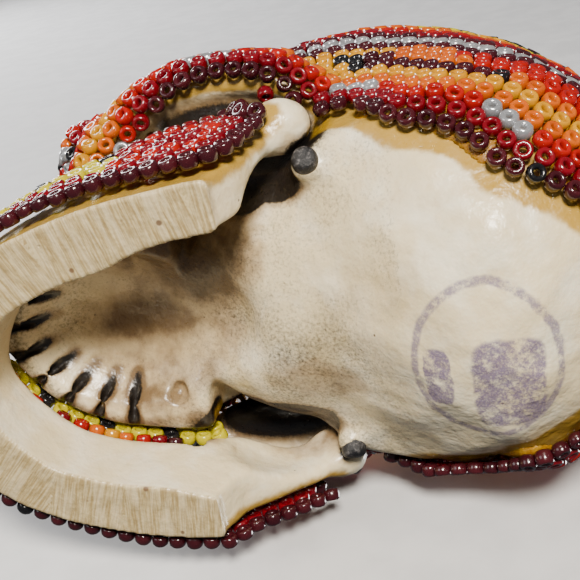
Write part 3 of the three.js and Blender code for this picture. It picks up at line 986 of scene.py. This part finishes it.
# ------------------------------------------------------------------ materials
class Paint:
    """Short ways to lay out one material's nodes."""

    def __init__(self, name):
        self.material = bpy.data.materials.new(name)
        self.material.use_nodes = True
        self.tree = self.material.node_tree
        self.shader = self.tree.nodes["Principled BSDF"]

    def node(self, kind, **inputs):
        made = self.tree.nodes.new(kind)
        for key, value in inputs.items():
            self.feed(made, key, value)
        return made

    def feed(self, node, key, value):
        """Links or sets one input: _0 and _1 are places in the list, other keys are names."""
        socket = node.inputs[int(key[1:]) if key[0] == "_" else key.replace("_", " ")]
        if isinstance(value, bpy.types.NodeSocket):
            self.tree.links.new(value, socket)
        else:
            socket.default_value = value

    def place(self, scale=(1, 1, 1)):
        """Object coordinates in millimetres, stretched by the scale."""
        whole = self.node("ShaderNodeTexCoord").outputs["Object"]
        return self.node("ShaderNodeMapping", Vector=whole, Scale=[s / MM for s in scale]).outputs[0]

    def noise(self, scale, detail=3.0, vector=None, rough=0.55):
        made = self.node("ShaderNodeTexNoise", Vector=vector or self.place(), Scale=scale, Detail=detail,
                         Roughness=rough)
        return made.outputs["Fac"]

    def value(self, name):
        """A value stored on the mesh."""
        made = self.node("ShaderNodeAttribute")
        made.attribute_name = name
        return made.outputs["Fac"]

    def math(self, kind, a, b=0.0):
        made = self.node("ShaderNodeMath", _0=a, _1=b)
        made.operation = kind
        return made.outputs[0]

    def plus(self, a, b):
        return self.math("ADD", a, b)

    def minus(self, a, b):
        return self.math("SUBTRACT", a, b)

    def times(self, a, b):
        return self.math("MULTIPLY", a, b)

    def stirred(self, value, noise, strength):
        """The value made uneven by a noise."""
        return self.plus(value, self.times(self.minus(noise, 0.5), strength))

    def spots(self, scale, near, far, most=1.0, stretch=(1, 1, 1)):
        """Scattered dots: the most within the near distance of a dot's middle, nothing beyond the far."""
        made = self.node("ShaderNodeTexVoronoi", Scale=scale, Vector=self.place(stretch))
        return self.band(made.outputs["Distance"], near, far, most, 0)

    def band(self, value, low, high, a=0.0, b=1.0):
        made = self.node("ShaderNodeMapRange", Value=value)
        made.interpolation_type = "SMOOTHSTEP"
        for key, number in (("From_Min", low), ("From_Max", high), ("To_Min", a), ("To_Max", b)):
            self.feed(made, key, number)
        return made.outputs[0]

    def mix(self, share, a, b):
        made = self.node("ShaderNodeMix")
        made.data_type = "RGBA"
        for key, value in (("_0", share), ("_6", a), ("_7", b)):
            self.feed(made, key, (*value, 1) if isinstance(value, tuple) else value)
        return made.outputs[2]

    def bump(self, height, distance, strength=1.0, normal=None):
        made = self.node("ShaderNodeBump", Height=height, Distance=distance * MM, Strength=strength)
        if normal is not None:
            self.tree.links.new(normal, made.inputs["Normal"])
        return made.outputs[0]

    def finish(self, **inputs):
        for key, value in inputs.items():
            self.feed(self.shader, key, value)
        return self.material


IVORY = (0.74, 0.62, 0.385)
CREAM = (0.82, 0.745, 0.56)
KHAKI = (0.55, 0.44, 0.235)
OLIVE = (0.42, 0.30, 0.12)
BROWN = (0.13, 0.075, 0.030)
# Black for the paint in the tooth slots and sockets, and for painted shade.
BLACK_AND_SHADE = (0.010, 0.007, 0.005)
AMBER = (0.36, 0.20, 0.003)
VIOLET = (0.125, 0.085, 0.20)


def resin(name, jawbone):
    """Old ivory coloured resin with brown antiquing wiped into the hollows, and painted shade in the deep
    hollows and gaps.
    """
    p = Paint(name)
    fine = p.value("fine")
    blotch = p.noise(0.16, 4.0)
    cloud = p.noise(0.5, 5.0, rough=0.6)
    broad_tone = p.noise(0.075, 4.0, rough=0.6)
    grit = p.noise(2.6, 4.0, rough=0.7)
    colour = p.mix(p.band(blotch, 0.40, 0.66), IVORY, CREAM)
    colour = p.mix(p.band(cloud, 0.52, 0.74, 0, 0.30), colour, (0.66, 0.53, 0.31))
    colour = p.mix(p.band(broad_tone, 0.48, 0.66, 0, 0.45), colour, (0.60, 0.45, 0.22))
    # Thin olive stain and painted shade where the surface is a little hollow.
    stain_and_shade = p.plus(p.times(fine, 3.2), p.times(p.value("broad"), 0.55))
    stain_and_shade = p.stirred(stain_and_shade, grit, 0.30)
    colour = p.mix(p.band(stain_and_shade, 0.12, 0.95, 0, 0.40), colour, OLIVE)
    # Brown wash, with painted shade in the deep palate, the throat, the cheek hollows and beside the jaw;
    # the hollowness of the surface adds painted shade too.
    wash = p.stirred(p.stirred(p.value("wash"), cloud, 0.9), blotch, 0.8)
    wash = p.plus(wash, p.times(fine, 0.35))
    colour = p.mix(p.band(wash, 0.12, 0.60, 0, 0.55), colour, (0.36, 0.23, 0.11))
    colour = p.mix(p.band(wash, 0.45, 1.15, 0, 0.93), colour, BROWN)
    # Black paint in the tooth slots and sockets, and black painted shade in the cheek hollows and beside
    # the jaw.
    colour = p.mix(p.band(p.stirred(p.value("soot"), grit, 0.7), 0.35, 0.75), colour, BLACK_AND_SHADE)
    colour = p.mix(p.band(p.stirred(p.value("amber"), cloud, 0.9), 0.30, 0.95, 0, 0.92), colour, AMBER)
    # Pin holes and short scratches full of dirt.
    spread = p.band(p.noise(0.12, 2.0), 0.5, 0.62)
    pits = p.math("MAXIMUM", p.spots(0.42, 0.05, 0.085), p.spots(0.30, 0.015, 0.035, 1.0, (1.0, 0.22, 1.0)))
    dirt = p.times(pits, spread)
    colour = p.mix(p.times(dirt, 0.85), colour, (0.10, 0.06, 0.03))
    rough = p.band(grit, 0.3, 0.7, 0.26, 0.42)
    height = p.minus(p.times(grit, 0.22), dirt)
    if jawbone:
        colour, rough, height = sawn_flats(p, colour, rough, height)
    else:
        colour = stamp(p, colour)
    normal = p.bump(height, 0.05, 1.0, p.bump(p.noise(0.42, 3.0), 0.34))
    return p.finish(
        Base_Color=colour, Roughness=rough, Normal=normal, Subsurface_Weight=0.06,
        Subsurface_Radius=(0.004, 0.002, 0.001), Subsurface_Scale=0.3, Coat_Weight=0.25,
        Coat_Roughness=0.18, Specular_IOR_Level=0.5)


def sawn_flats(p, colour, rough, height):
    """The sawn undersides of the jaw: marks across each arm, and a few dark pores."""
    flat = p.value("flat")
    lines = p.node("ShaderNodeCombineXYZ", X=p.value("along"), Y=p.times(p.value("across"), 0.07))
    streak = p.noise(3.4, 5.0, lines.outputs[0], 0.75)
    wide = p.noise(0.85, 3.0, lines.outputs[0], 0.6)
    sawn = p.mix(p.band(streak, 0.40, 0.63), (0.33, 0.235, 0.10), KHAKI)
    sawn = p.mix(p.band(wide, 0.42, 0.66, 0, 0.60), sawn, (0.66, 0.55, 0.345))
    sawn = p.mix(p.spots(0.24, 0.055, 0.10, 0.85), sawn, (0.12, 0.06, 0.03))
    return (p.mix(flat, colour, sawn), p.plus(rough, p.times(flat, 0.16)),
            p.plus(height, p.times(p.times(streak, flat), 0.8)))


def stamp(p, colour):
    """A half worn violet inspection stamp: a plain ring round two plain blocks of ink."""
    parts = p.node("ShaderNodeSeparateXYZ", Vector=p.place())
    ripple = p.times(p.minus(p.noise(0.5, 3.0), 0.5), 0.9)

    def super_oval(centre, half, power):
        total = 0.0
        for axis in (0, 1):
            away = p.minus(p.plus(parts.outputs[axis], ripple), centre[axis])
            away = p.math("ABSOLUTE", p.math("DIVIDE", away, half[axis]))
            total = p.plus(total, p.math("POWER", away, power))
        return total

    away = p.math("SQRT", super_oval((-2.5, 23.2), (9.8, 7.8), 2.0))
    ink = p.band(p.math("ABSOLUTE", p.minus(away, 1.0)), 0.03, 0.075, 0.85, 0)
    for centre, half in (((-3.8, 17.9), (3.6, 1.5)), ((-5.0, 25.4), (5.9, 3.9))):
        ink = p.math("MAXIMUM", ink, p.band(super_oval(centre, half, 5.0), 0.7, 1.3, 1.0, 0))
    worn = p.band(p.noise(0.55, 6.0, rough=0.75), 0.34, 0.54)
    worn = p.times(worn, p.band(p.noise(4.0, 3.0, rough=0.8), 0.30, 0.55, 0.60, 1.0))
    underside = p.band(parts.outputs[2], 6.0, 9.0, 0.86, 0)
    return p.mix(p.times(p.times(ink, worn), underside), colour, VIOLET)


GLASS_COLOURS = {     # two shades
    "maroon": ((0.026, 0.003, 0.006), (0.060, 0.007, 0.011)),
    "crimson": ((0.110, 0.001, 0.005), (0.175, 0.003, 0.009)),
    "red": ((0.250, 0.002, 0.001), (0.340, 0.005, 0.002)),
    "orange": ((0.400, 0.062, 0.000), (0.480, 0.090, 0.000)),
    "yellow": ((0.440, 0.185, 0.000), (0.520, 0.240, 0.000)),
    "lemon": ((0.420, 0.350, 0.000), (0.500, 0.430, 0.000)),
    "pearl": ((0.300, 0.310, 0.340), (0.420, 0.430, 0.450)),
    "black": ((0.004, 0.004, 0.005), (0.012, 0.011, 0.012)),
}


def glass(name, dark, light):
    """Moulded seed bead glass: a shade of its own for each bead, faint swirls and dust."""
    p = Paint("bead_" + name)
    share = p.plus(p.times(p.value("tint"), 0.7), p.times(p.noise(0.9, 3.0), 0.3))
    dust = p.band(p.noise(3.8, 4.0, rough=0.7), 0.62, 0.84, 0, 0.08)
    colour = p.mix(dust, p.mix(share, dark, light), (0.46, 0.38, 0.28))
    smooth, dull = (0.16, 0.30) if name == "pearl" else (0.14, 0.28)
    rough = p.band(p.noise(2.4, 3.0), 0.35, 0.7, smooth, dull)
    body = {
        "maroon": {"Transmission_Weight": 0.12},
        "pearl": {"Metallic": 0.55, "Sheen_Weight": 0.2},
    }.get(name, {
        "Subsurface_Weight": 0.12, "Subsurface_Radius": (0.0012, 0.0007, 0.0005), "Subsurface_Scale": 0.5})
    return p.finish(
        Base_Color=colour, Roughness=rough, Normal=p.bump(p.noise(1.6, 2.0), 0.03), Coat_Weight=0.4,
        Coat_Roughness=0.07, IOR=1.45, **body)


def beeswax():
    """Amber beeswax, clear at thin edges, with finger marks and trapped fibres."""
    p = Paint("beeswax")
    grain = p.noise(3.0, 4.0, rough=0.7)
    colour = p.mix(p.band(p.noise(0.55, 4.0), 0.35, 0.68), (0.27, 0.110, 0.002), (0.40, 0.205, 0.008))
    colour = p.mix(p.band(grain, 0.60, 0.78, 0, 0.35), colour, (0.60, 0.43, 0.18))
    colour = p.mix(p.spots(0.5, 0.02, 0.05, 0.5, (0.25, 1.0, 1.0)), colour, (0.30, 0.14, 0.03))
    height = p.plus(p.times(grain, 0.4), p.noise(1.2, 3.0))
    return p.finish(
        Base_Color=colour, Roughness=p.band(grain, 0.3, 0.7, 0.24, 0.45), Normal=p.bump(height, 0.16),
        Subsurface_Weight=0.35, Subsurface_Radius=(0.004, 0.002, 0.0006), Subsurface_Scale=0.5,
        Transmission_Weight=0.12, IOR=1.44)


def filler():
    """Black plugging wax, scuffed grey."""
    p = Paint("black_filler")
    marks = p.noise(1.6, 5.0, rough=0.75)
    colour = p.mix(p.band(marks, 0.50, 0.68, 0, 0.8), (0.010, 0.010, 0.012), (0.17, 0.16, 0.16))
    rough = p.band(marks, 0.3, 0.7, 0.35, 0.6)
    return p.finish(Base_Color=colour, Roughness=rough, Normal=p.bump(marks, 0.20))


def plaster():
    """The pale ground: fine tooth, seen from one side only."""
    p = Paint("pale_ground")
    tooth = p.noise(0.12, 5.0)
    colour = p.mix(p.band(tooth, 0.35, 0.65), (0.62, 0.62, 0.63), (0.68, 0.68, 0.69))
    p.finish(Base_Color=colour, Roughness=p.band(tooth, 0.3, 0.7, 0.75, 0.9), Normal=p.bump(tooth, 0.1))
    clear = p.node("ShaderNodeBsdfTransparent")
    facing = p.node("ShaderNodeNewGeometry").outputs["Backfacing"]
    mixed = p.node("ShaderNodeMixShader", Fac=facing, _1=p.shader.outputs[0], _2=clear.outputs[0])
    p.feed(p.tree.nodes["Material Output"], "Surface", mixed.outputs[0])
    return p.material


# ------------------------------------------------------------------ the pieces
# Brown wash on the underside, partly painted shade in the palate, the throat and round the ear plugs:
# strength, the distances at which it starts and is full, and an oval.
WASH_AND_SHADE_OVALS = [
    (0.70, 2.5, -3.0, (0, -18, 13), (12, 12, 9)),               # the palate
    (0.95, 2.5, -3.5, (8.6, -9.0, 12), (6.5, 8.0, 7)),          # the throat
    (0.45, 1.5, -1.5, (-1.0, -18.5, 17), (2.4, 6.5, 8)),
    (0.60, 2.2, -1.5, (-8.0, 2.0, 8), (3.2, 6.5, 6)),
    (0.45, 1.5, -1.5, (-11.6, -25, 12), (3.8, 12, 3.4)),        # beside the right teeth
    (-0.45, 1.5, -1.0, (4.6, -25.5, 16), (2.2, 5.0, 9)),        # wiped clean
    (0.65, 1.2, -0.6, (16.6, 4.9, 14.6), (2.0, 2.0, 2.0)),      # round the ear plugs
    (0.65, 1.2, -0.6, (-16.6, 4.9, 14.6), (2.0, 2.0, 2.0)),
]


def cranium_piece():
    points, quads = largest(*skin(HEAD_GRID, head))
    axes = columns(points)
    x, y, z = axes
    fine, broad = surface_values(HEAD_GRID, head, points)
    jaw_gap = np.where((y < 15) & (z < 22), JAW_GRID.sample(jaw, points), 9)
    slots = np.min([rod(axes, outer, inner, SLOT_RADIUS) for outer, inner in TOOTH_SLOTS], axis=0)
    cleft_shades = nearest(axes, CLEFT_SHADES)
    temple = nearest(axes, TEMPLES)
    teeth = smooth_step(14.2, 12.8, z) * (y < -11)
    palate = palate_distance(axes)
    # Brown wash, partly painted shade: in the palate, the throat and round the ear plugs, and in the cheek
    # hollows and beside the jaw's uprights.
    wash = sum(strength * smooth_step(low, high, oval(axes, centre, radii))
               for strength, low, high, centre, radii in WASH_AND_SHADE_OVALS)
    wash = wash + 0.9 * smooth_step(1.0, 0.0, slots) + 0.8 * smooth_step(2.0, 0.2, cleft_shades)
    wash = wash + 1.1 * smooth_step(1.6, -1.4, temple) + 0.45 * teeth * smooth_step(0.5, 1.8, palate)
    # Black in the tooth slots and the eye and nose sockets, and black painted shade in the cheek hollows,
    # beside the jaw's uprights and where the jaw runs close.
    soot = smooth_step(0.35, -0.25, slots) + smooth_step(0.4, -2.2, temple)
    soot = soot + smooth_step(3.2, 0.6, jaw_gap) + 1.2 * smooth_step(0.7, -0.3, cleft_shades)
    sockets = np.minimum(orbit_distance(axes, 0), nose_distance(axes, 0))
    soot = soot + smooth_step(0.2, -1.2, sockets)
    amber = smooth_step(5.2, 2.6, HEAD_GRID.sample(bead_cloud(HEAD_GRID, HEAD_BEADS.beads), points))
    amber = amber * smooth_step(-0.5, 1.0, palate) * smooth_step(-3.4, -1.6, edge_distance(axes))
    amber = amber * (1 - 0.75 * teeth) * smooth_step(-0.4, 0.8, temple)
    return build("cranium_cast", points, quads, [resin("old_resin", False)], fine=fine, broad=broad,
                 wash=wash, soot=soot, amber=amber)


def arm_lines(points):
    """Distance along and across each arm of the jaw, for the saw marks."""
    middle = np.array([[19.6, 12], [19.0, -6], [17.2, -16], [15.6, -24], [12.2, -32], [5, -39], [0, -41.2]])
    middle[:, 1] += SHIFT_Y
    ends = np.vstack([middle, (middle * [-1, 1])[::-1][1:]]) - [0, JAW_PIVOT]
    turned = np.array([[math.cos(JAW_SKEW), math.sin(JAW_SKEW)], [-math.sin(JAW_SKEW), math.cos(JAW_SKEW)]])
    ends = ends @ turned + [0, JAW_PIVOT]
    best = np.full(len(points), 1e9)
    along, across = np.zeros(len(points)), np.zeros(len(points))
    run = 0.0
    for a, b in zip(ends[:-1], ends[1:]):
        way = b - a
        length = np.linalg.norm(way)
        way = way / length
        off = points[:, :2] - a
        t = off @ way
        held = np.clip(t, 0, length)
        gap = np.linalg.norm(off - held[:, None] * way, axis=1)
        hit = gap < best
        best = np.where(hit, gap, best)
        along = np.where(hit, run + t, along)
        across = np.where(hit, off @ np.array([-way[1], way[0]]), across)
        run += length
    return along, across


def jaw_piece():
    points, quads = largest(*skin(JAW_GRID, jaw))
    axes = columns(points)
    x, _, z = axes
    fine, broad = surface_values(JAW_GRID, jaw, points)
    gap = HEAD_GRID.sample(head, points)
    flat = (z < 0.16).astype(float)
    along, across = arm_lines(points)
    top = oval(axes, (-17.5, -2.5, 16.5), (5, 6, 4))        # the right upright's top
    # Brown painted shade where the jaw runs close to the cranium and on the right upright's top; the inner
    # walls are darker towards their top.
    wash = 0.75 * smooth_step(2.6, 0.8, gap) + 0.35 * smooth_step(8, 11, z) * (np.abs(x) < 17.5)
    wash = wash + 0.7 * smooth_step(2.5, -1.5, top)
    # Black painted shade where the jaw nearly touches the cranium.
    soot = smooth_step(1.8, 0.5, gap)
    near_beads = JAW_GRID.sample(bead_cloud(JAW_GRID, JAW_BEADS.beads), points)
    amber = smooth_step(4.6, 2.4, near_beads) * (z > 0.3)
    return build("jaw_cast", points, quads, [resin("old_resin_jaw", True)], fine=fine, broad=broad,
                 wash=wash, soot=soot, amber=amber, flat=flat, along=along, across=across)


def wax_shell(name, source, values, thickness, voxel):
    """A closed coat that lies on a casting and thins out to nothing at its edge."""
    grid = coarser(source, voxel)
    coat = resample(source, values, grid)
    shell = np.maximum(coat - thickness(grid), -coat - 0.35)
    return build(name, *largest(*skin(grid, shell)), [wax])


def coat_thickness(grid, room, full, seed):
    """The wax bed where there is room, nothing where there is none."""
    bed = WAX_BED + 0.12 * lumps(grid, 2.0, seed)
    return (-0.6 + (bed + 0.6) * smooth_step(-0.3, full, room)).astype(np.float32)


def least(first, *others):
    """The smallest value at each sample."""
    for other in others:
        first = np.minimum(first, other)
    return first


def head_wax_thickness(grid):
    axes = grid.axes()
    edge = 2.7 - blur(bead_cloud(grid, HEAD_BEADS.beads), 1.1 / grid.voxel) + 0.6 * lumps(grid, 3.2, 21)
    edge = np.maximum(edge, np.minimum(axes[2] - 38, 2.5))      # the crown is coated all over
    beside_jaw = (axes[2] <= 21) & (axes[1] <= 13)
    jaw_gap = np.where(beside_jaw, resample(JAW_GRID, jaw, grid), 9)
    openings = np.minimum(orbit_distance(axes, 0.6), nose_distance(axes, 0.6))
    teeth = np.where(axes[1] < -13, axes[2] - 12.6, 9)
    room = least(
        edge, edge_distance(axes) + 1.7, nearest(axes, TEMPLES) - 0.2, openings * 1.4 + 0.2, teeth,
        jaw_gap - 1.0, palate_distance(axes) - 1.0)
    return coat_thickness(grid, room, 2.2, 22)


def jaw_wax_thickness(grid):
    gap = resample(HEAD_GRID, head, grid)
    edge = 2.4 - blur(bead_cloud(grid, JAW_BEADS.beads), 1.0 / grid.voxel) + 0.5 * lumps(grid, 2.6, 23)
    return coat_thickness(grid, least(edge, grid.axes()[2] - 0.15, gap - 1.0), 1.9, 24)


def bead_cloud(grid, beads):
    """Distance from the nearest bead centre, up to a few millimetres."""
    total = np.full(grid.shape, 9.0, np.float32)
    for place, *_ in beads:
        part, axes = near(grid, place, np.array([4.0, 4.0, 4.0]))
        away = np.sqrt(sum((axes[a] - place[a]) ** 2 for a in range(3)))
        total[part] = np.minimum(total[part], away)
    return total


def blob(name, node, growth, voxel, seed, material):
    """A soft lump that follows a CAD node."""
    low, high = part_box(node)
    grid = Grid(np.array(low) / MM - 2, np.array(high) / MM + 2, voxel)
    values = blur(cad_distance(grid, [node]), 0.5 / voxel) - growth + 0.12 * lumps(grid, 1.5, seed)
    return build(name, *largest(*skin(grid, values)), [material])


def settle(piece, node):
    """The piece is drawn instead of its CAD node."""
    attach(piece, "root")
    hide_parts(node)


def light(name, place, aim, size, power, colour=(1, 1, 1)):
    data = bpy.data.lights.new(name, "AREA")
    data.shape = "DISK"
    data.size = size
    data.energy = power
    data.color = colour
    made = bpy.data.objects.new(name, data)
    made.location = Vector(place)
    made.rotation_euler = (Vector(aim) - Vector(place)).to_track_quat("-Z", "Y").to_euler()
    bpy.context.scene.collection.objects.link(made)


GROUND_REACH = 900.0


def plane(name, centre, side, up, material):
    """A large square whose front faces side x up."""
    side, up = GROUND_REACH * np.array(side, float), GROUND_REACH * np.array(up, float)
    points = np.array([centre + a * side + b * up for a, b in ((-1, -1), (1, -1), (1, 1), (-1, 1))])
    made = build(name, points, np.array([[0, 1, 2, 3]]), [material], smooth=False)
    made.visible_shadow = False          # light passes the ground from behind
    made.visible_diffuse = False
    made.visible_glossy = False


place_camera()
ground = plaster()
plane("ground_beside", (-30.4, 0, 0), (0, 1, 0), (0, 0, 1), ground)
plane("ground_below", (0, 0, -0.08), (1, 0, 0), (0, 1, 0), ground)

WARM = (1.0, 0.93, 0.82)
light("key", (0.34, 0.10, -0.30), (0, 0, 0.01), 0.12, 5.4, WARM)
light("fill_side", (0.30, -0.40, -0.25), (0, 0, 0.02), 0.30, 0.7)
light("top_front", (0.25, -0.45, 0.50), (0, 0, 0.03), 0.40, 5.5)
light("top_back", (-0.30, 0.42, 0.45), (0, 0, 0.03), 0.40, 5.5)
world = bpy.data.worlds.new("studio")
world.use_nodes = True
world.node_tree.nodes["Background"].inputs[0].default_value = (0.92, 0.94, 1.0, 1)
world.node_tree.nodes["Background"].inputs[1].default_value = 0.13
bpy.context.scene.world = world

HEAD_BEADS = head_beads()
JAW_BEADS = jaw_beads(HEAD_BEADS)
paint = {name: glass(name, *shades) for name, shades in GLASS_COLOURS.items()}
make_beads(HEAD_BEADS, paint)
make_beads(JAW_BEADS, paint)
print("beads", len(HEAD_BEADS.beads), len(JAW_BEADS.beads))

settle(cranium_piece(), "cranium_casting")
settle(jaw_piece(), "jaw_casting")

wax = beeswax()
settle(wax_shell("cranium_wax", HEAD_GRID, head, head_wax_thickness, 0.55), "cranium_wax_coat")
settle(wax_shell("jaw_wax", JAW_GRID, jaw, jaw_wax_thickness, 0.45), "jaw_wax_coat")

black = filler()
for side in ("left", "right"):
    plug, bond = "ear_plug_" + side, "jaw_bond_" + side
    settle(blob("ear_filler_" + side, plug, 0.15, 0.2, 31, black), plug)
    settle(blob("jaw_bond_wax_" + side, bond, -0.25, 0.3, 32, wax), bond)
